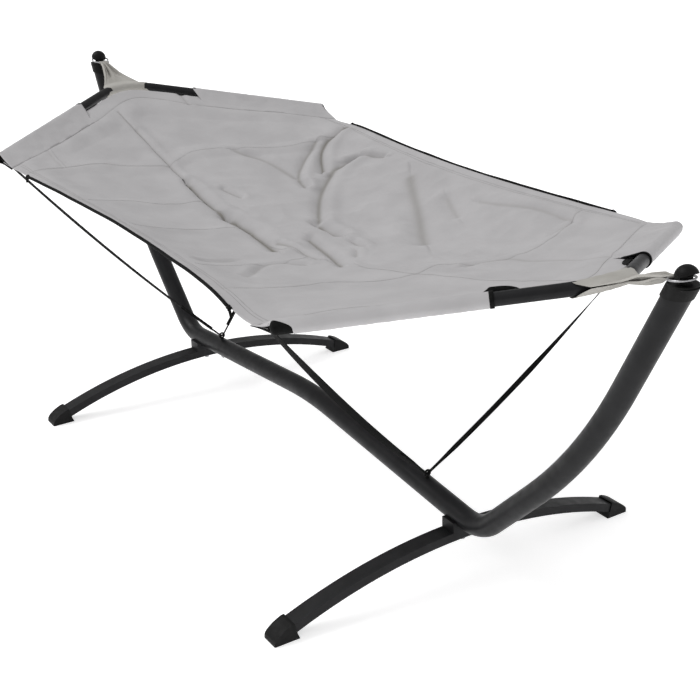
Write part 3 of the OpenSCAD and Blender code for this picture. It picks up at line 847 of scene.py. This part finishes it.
def sleeve(end, side):
    # its end is cut on the slant: the lower side starts further from the corner
    span = wing_frame(end, side)[4]
    fine_t = np.linspace(-0.009 / span, SLEEVE_T, 150)
    fine = np.array([sleeve_section(t, end, side) for t in fine_t])
    m = fine.shape[1]
    first, whole, slack = SLANTS[end, side]
    begin = -0.009 + slack + 0.050 * smooth(np.arange(m), first, whole)
    f = np.linspace(0, 1, 96) ** 1.25
    rows = np.zeros((96, m, 3))
    for k in range(m):
        ts = begin[k] / span + (SLEEVE_T - begin[k] / span) * f
        for axis in range(3):
            rows[:, k, axis] = np.interp(ts, fine_t, fine[:, k, axis])
    n = grid_normals(rows)
    centre = rows.mean(1, keepdims=True)
    if np.mean(np.sum(n * (rows - centre), -1)) < 0:
        n = -n
    # shallow drag folds run across the flap, and the cloth hugs the pole
    k = np.arange(m)
    flap = (1 - smooth(k, 7, 13)) + smooth(k, m - 13, m - 7)
    ripple = pleat(rows, 26.0, 1.0, 3 + end + 2 * side).reshape(rows.shape[:2])
    fine = pleat(rows, 70.0, 1.0, 8 + end + 2 * side).reshape(rows.shape[:2])
    held = np.minimum(smooth(k, 0, 3), smooth(m - 1 - k, 0, 3))
    rows = rows + n * ((0.0030 * ripple * flap + 0.0006 * (fine + 0.6)) * held)[..., None]
    obj = piece("sleeve_" + NAMES[end, side], rows.reshape(-1, 3), grid_faces(*rows.shape[:2]), SLEEVE_CLOTH,
                replaces=["pole_sleeve_" + NAMES[end, side]])
    turned_out(obj)
    thicken(obj, 0.0012)
    return rows


def binding_at(end, side):
    """Black tape round the sleeve's end, folded over its edge."""
    _, along, _, _, span = wing_frame(end, side)
    first = 4 if end > 0 else 10
    path = sleeve_section(SLEEVE_T - 0.004 / span, end, side)[first:-3]
    path = spaced(path, 70)
    tang, a, b = frames(path)
    turn = []
    for i in range(len(path)):
        want = along - tang[i] * (along @ tang[i])
        turn.append(math.atan2(want @ b[i], want @ a[i]))
    return swept(path, flat_band(0.011, 0.0036), turn=np.unwrap(turn))


# How deep each opening's facing reaches into the bed, as a share of the half length
FACINGS = {(1, -1): 0.046, (1, 1): 0.020, (-1, -1): 0.003, (-1, 1): 0.005}


def facing_at(end, side):
    """Black facing on the cut edge of the bed between a sleeve's end and the middle hem."""
    rows = []
    for a in np.linspace(0, 1, 22):
        v = side * ((0.360 if (end, side) == (1, -1) else 0.372) - 0.120 * a)
        deep = FACINGS[end, side] * (1 - a ** 4) ** 0.7 + 0.001
        u = end * np.linspace(1 - deep, 0.9995, 9)
        top_line, n = on_top(u, np.full(9, v), 0.0014)
        if (end, side) == (1, -1):
            raised = 0.019 * smooth(a, 0, 0.15) * (1 - a ** 4) * np.linspace(0, 1, 9) ** 1.5
            top_line = top_line + n * raised[:, None]
        low_line, n_low = on_top(end * np.linspace(0.9995, 1 - deep * 0.5, 6), np.full(6, v), None)
        lip = (top_line[-1] + low_line[0]) / 2 + np.array([end * 0.0022, 0, 0])
        rows.append(np.vstack([top_line, lip[None], low_line + n_low * 0.0012]))
    rows = np.array(rows)
    uv = np.stack([np.repeat(np.linspace(0, 0.07, 22), 16), np.tile(np.linspace(0, 0.05, 16), 22)], 1)
    obj = piece("opening_facing_" + NAMES[end, side], rows.reshape(-1, 3), grid_faces(22, 16), BINDING,
                uvs=uv)
    turned_out(obj)
    thicken(obj, 0.0012)


for end in (1, -1):
    for side in (-1, 1):
        sleeve(end, side)
        verts, faces, uvs = binding_at(end, side)
        turned_out(piece("opening_binding_" + NAMES[end, side], verts, faces, BINDING,
                         uvs=uvs))
        facing_at(end, side)


# ---------------------------------------------------------------- corner gussets
def gusset(end, side):
    """Black webbing inside the sleeve's end: it wraps the pole's tip and closes the sleeve's side."""
    start, along, inward, up_plane, span = wing_frame(end, side)
    lining = SLEEVE_R - 0.0011
    ts = np.concatenate([np.linspace(-0.0085, 0.004, 8), np.linspace(0.012, 0.075, 8)]) / span
    wrap = np.array([sleeve_section(t, end, side, radius=lining) for t in ts])[:, 8:]
    wrap = wrap + np.where(np.arange(wrap.shape[1]) > 29, 1, 0)[None, :, None] * up_plane * 0.0012
    flat = wrap.reshape(-1, 3)
    uv = np.stack([(flat - start) @ along, (flat - start) @ up_plane], 1)
    parts = [(flat, [list(f) for f in grid_faces(*wrap.shape[:2])], uv)]
    loop = sleeve_section(-0.001 / span, end, side)
    upper, lower = loop[1:10], loop[::-1][1:10]
    f = np.linspace(0, 1, 8)[:, None]
    rows = np.array([upper[i] * (1 - f) + lower[i] * f - along * 0.0015 * np.sin(math.pi * f)
                     for i in range(9)])
    side_face = rows.reshape(-1, 3)
    uv = np.stack([(side_face - start) @ inward, (side_face - start) @ up_plane], 1)
    parts.append((side_face, [list(f) for f in grid_faces(*rows.shape[:2])], uv))
    verts, faces, uvs = joined(parts)
    obj = piece("corner_gusset_" + NAMES[end, side], verts, faces, WEBBING, uvs=uvs,
                replaces=["corner_tab_" + NAMES[end, side]])
    turned_out(obj)
    thicken(obj, 0.0010)


for end in (1, -1):
    for side in (-1, 1):
        gusset(end, side)


# ---------------------------------------------------------------- slings
def sling(end):
    """A loop of gathered cloth round the middle of the bow, drawn through its ring."""
    name = "front" if end > 0 else "back"
    flip = np.array([end, 1, 1.0])
    depth = (APEX[0] - CORNER[0]) / math.cos(RISE)
    half_turn = math.pi / 2 - math.atan2(CORNER[1], depth)
    bow_mid = depth - BEND_R * (1 / math.cos(half_turn) - 1)
    centre = np.array([CORNER[0] + bow_mid * math.cos(RISE), 0, CORNER[2] + bow_mid * math.sin(RISE)])
    low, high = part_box("ring_" + name)
    ring_at = (np.array(low) + np.array(high)) / 2 * flip
    wire_at = ring_at - RING_R * np.array([math.cos(RING_TILT), 0, math.sin(RING_TILT)])
    ahead = unit(wire_at - centre)
    over = np.cross(ahead, [0, 1.0, 0])
    over = unit(over if over[2] > 0 else -over)
    reach = np.linalg.norm(wire_at - centre)
    tube_r = POLE_R + 0.0014
    half_wide, half_ring = 0.082, 0.014
    s = np.linspace(-1, 1, 81)
    first_angle = math.radians(67)
    ring_x = reach + RING_R - np.sqrt(RING_R ** 2 - (half_ring * s) ** 2)

    def pole_back(y):
        return BEND_R - np.sqrt(BEND_R ** 2 - y ** 2)

    def placed(x, y, z):
        flat_part = centre + ahead * np.reshape(x, (-1, 1)) + np.outer(y, [0, 1, 0])
        return flat_part + over * np.reshape(z, (-1, 1))

    def layer(f, sign):
        drawn = 1 - (1 - np.clip((f - 0.06) / 0.88, 0, 1)) ** 1.45
        y = s * (half_wide * (1 - drawn) + half_ring * drawn)
        x = (tube_r * math.cos(first_angle) - pole_back(half_wide * s)) * (1 - f) + ring_x * f
        gap = tube_r * math.sin(first_angle) * max(0.0, 1 - f / 0.2) ** 1.1 + 0.0011
        gap = gap + (RING_WIRE - 0.0004) * smooth(f, 0.9, 1.0)
        gap = gap + 0.0048 * math.exp(-((f - 0.68) / 0.12) ** 2) * smooth(-s, 0.1, 0.9)
        deep = 0.0062 * smooth(f, 0.16, 0.7) * (1 - smooth(f, 0.86, 1.0))
        folds = deep * (np.cos(8.6 * s + 0.5) + 0.55 * np.cos(16.0 * s + 2.0 + 1.2 * f)
                        + 0.25 * np.cos(31.0 * s + 1.0))
        slack = 0.0015 * math.sin(math.pi * f) * np.cos(2.1 * s + sign)
        return placed(x, y, sign * gap + folds + slack)
    run = np.concatenate([np.linspace(0.012, 0.24, 14), np.linspace(0.27, 1.0, 26)])
    rows = [layer(f, 1) for f in run[::-1]]
    for a in np.linspace(first_angle, 2 * math.pi - first_angle, 26):
        y = s * half_wide
        rows.append(placed(tube_r * math.cos(a) - pole_back(y), y, np.full(len(s), tube_r * math.sin(a))))
    rows += [layer(f, -1) for f in run]
    for a in np.radians(np.linspace(-60, 60, 9)):
        wire_r = RING_WIRE + 0.0007
        level = np.full(len(s), wire_r * math.sin(a))
        rows.append(placed(ring_x + wire_r * math.cos(a), s * half_ring, level))
    rows = np.array(rows)
    n = grid_normals(rows)
    from_wire = np.linalg.norm(rows - wire_at, axis=-1)
    pucker = pleat(rows, 60.0, 0.0010, 4 + end).reshape(rows.shape[:2]) * smooth(from_wire, 0.03, 0.09)
    rows = rows + n * pucker[..., None]
    verts = rows.reshape(-1, 3) * flip
    obj = piece("sling_" + name + "_cloth", verts, grid_faces(*rows.shape[:2], loop_n=True), SLING_CLOTH,
                replaces=["sling_" + name])
    turned_out(obj)
    thicken(obj, 0.0010)
    for f in grid_faces(*rows.shape[:2], loop_n=True):
        a, b, c, d = verts[f]


sling(1)
sling(-1)


# ---------------------------------------------------------------- stabiliser straps
STRAP_TOPS = {(1, -1): (0.868, -0.587, 0.868), (1, 1): (0.824, 0.572, 0.862),
              (-1, -1): (-0.826, -0.580, 0.872), (-1, 1): (-0.850, 0.583, 0.864)}
# Angles between each strap's face and the direction STRAP_FACE, at its top, upper third, middle and foot
STRAP_FACE = np.array([0.76, -0.50, 0.41])
TWISTS = {(1, -1): (62, 25, -5, 52), (1, 1): (78, 92, 45, 55),
          (-1, -1): (66, 60, 62, 70), (-1, 1): (50, 60, 60, 70)}
STRAP_W = 0.019
STRAP_SAG = 0.020


def strap(end, side):
    """Webbing from under the bed's corner down through the eye bolt's eye and back on itself."""
    high = np.array(STRAP_TOPS[end, side])
    eye = EYE * np.array([end, 1, 1.0])
    low = eye + np.array([end * 0.002, side * 0.010, 0.006])
    f = np.linspace(0, 1, 60)[:, None]
    path = high + (low - high) * f
    path[:, 2] -= STRAP_SAG * (4 * f * (1 - f))[:, 0]
    lead = high + np.array([[end * 0.010, side * 0.012, 0.010], [end * 0.005, side * 0.006, 0.005]])
    tail = eye + np.array([[0, side * 0.004, 0.0], [0, -side * 0.003, -0.003], [0, -side * 0.008, 0.001]])
    path = spaced(np.vstack([lead, path, tail]), 90)
    x = np.linspace(0, 1, 90)
    tang, a, b = frames(path)
    face = unit(STRAP_FACE - tang * (tang @ STRAP_FACE)[:, None])
    level = np.unwrap(np.arctan2(np.sum(face * b, 1), np.sum(face * a, 1))) - math.pi / 2
    turn = level + np.radians(np.interp(x, [0.03, 0.28, 0.55, 0.95], TWISTS[end, side]))
    scale = np.stack([1 - 0.55 * smooth(x, 0.86, 0.97), 1 + 1.1 * smooth(x, 0.86, 0.97)], 1)
    parts = [swept(path, flat_band(STRAP_W, 0.0018), turn=turn, scale=scale)]
    # the end is folded back and stitched to the strap above the eye
    back = path[84:70:-1] + np.array([end * 0.0030, 0, 0.0016])
    parts.append(swept(back, flat_band(STRAP_W * 0.62, 0.0022), turn=np.full(14, turn[78])))
    verts, faces, uvs = joined(parts)
    obj = piece("strap_" + NAMES[end, side] + "_webbing", verts, faces, WEBBING, body=None,
                uvs=uvs,
                replaces=["strap_" + NAMES[end, side]])
    turned_out(obj)
    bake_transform(obj)


for end in (1, -1):
    for side in (-1, 1):
        strap(end, side)


# ---------------------------------------------------------------- side cords with knotted ends
def knot(centre, direction, size):
    """An overhand knot."""
    t = np.linspace(0, 2 * math.pi, 60, endpoint=False)
    x = np.sin(t) + 2 * np.sin(2 * t)
    y = np.cos(t) - 2 * np.cos(2 * t)
    z = -np.sin(3 * t)
    a = unit(direction)
    b = unit(np.cross(a, [0, 0, 1.0]))
    c = np.cross(b, a)
    path = centre + size / 3 * (x[:, None] * a * 0.9 + y[:, None] * c * 0.7 + z[:, None] * b)
    return swept(path, circle(size * 0.42, 10), closed=True)


def side_cord(side):
    name = "right" if side > 0 else "left"
    xs = np.linspace(-CORD_X, CORD_X, 90)
    us = xs / end_x(1.0)
    base = bed_mid(us, side * 1.0)
    path = base + np.array([0, side * (CORD_OUT + 0.0010), 0.0040 - CORD_DROP])
    path[:, 2] += pleat(path, 9.0, 0.0018, 12 + side)
    path[:, 1] += pleat(path, 7.0, 0.0015, 15 + side)
    parts = [swept(path, circle(CORD_R, 12))]
    for i, way in ((0, -1), (-1, 1)):
        at = path[i] + np.array([way * 0.004, 0, -0.001])
        parts.append(knot(at, np.array([1.0, 0, 0]), 0.0075))
        # the free end hangs a little below the knot
        tail = curve_through([at, at + [way * 0.008, side * 0.002, -0.008],
                              at + [way * 0.010, side * 0.001, -0.018]], 12)
        parts.append(swept(tail, circle(CORD_R * 0.8, 10)))
    verts, faces, uvs = joined(parts)
    turned_out(piece("cord_" + name, verts, faces, CORD_CLOTH, uvs=uvs * np.array([1.0, 1.0]),
                     replaces=["side_cord_" + name]))


side_cord(-1)
side_cord(1)

# ---------------------------------------------------------------- stage and light
floor_mat = material("floor", (0.86, 0.86, 0.86), 0.9, specular=0.1)
floor_bsdf = floor_mat.node_tree.nodes["Principled BSDF"]
floor_bsdf.inputs["Emission Color"].default_value = (1, 1, 1, 1)
floor_bsdf.inputs["Emission Strength"].default_value = 0.56
bpy.ops.mesh.primitive_plane_add(size=80)
floor = bpy.context.object
floor.name = "floor"
floor.data.materials.append(floor_mat)

world = bpy.data.worlds.new("world")
bpy.context.scene.world = world
world.use_nodes = True
world.node_tree.nodes["Background"].inputs["Color"].default_value = (1, 1, 1, 1)
world.node_tree.nodes["Background"].inputs["Strength"].default_value = 0.50


def sun(name, direction, strength, softness):
    """A wide soft light from a direction."""
    data = bpy.data.lights.new(name, "SUN")
    data.energy = strength
    data.angle = math.radians(softness)
    obj = bpy.data.objects.new(name, data)
    bpy.context.scene.collection.objects.link(obj)
    obj.rotation_euler = (-Vector(direction)).to_track_quat("-Z", "Y").to_euler()


sun("key", (-0.45, -0.45, 0.75), 1.40, 35)
sun("fill", (0.5, 0.3, 0.8), 0.35, 90)

bpy.context.scene.view_settings.view_transform = "Standard"
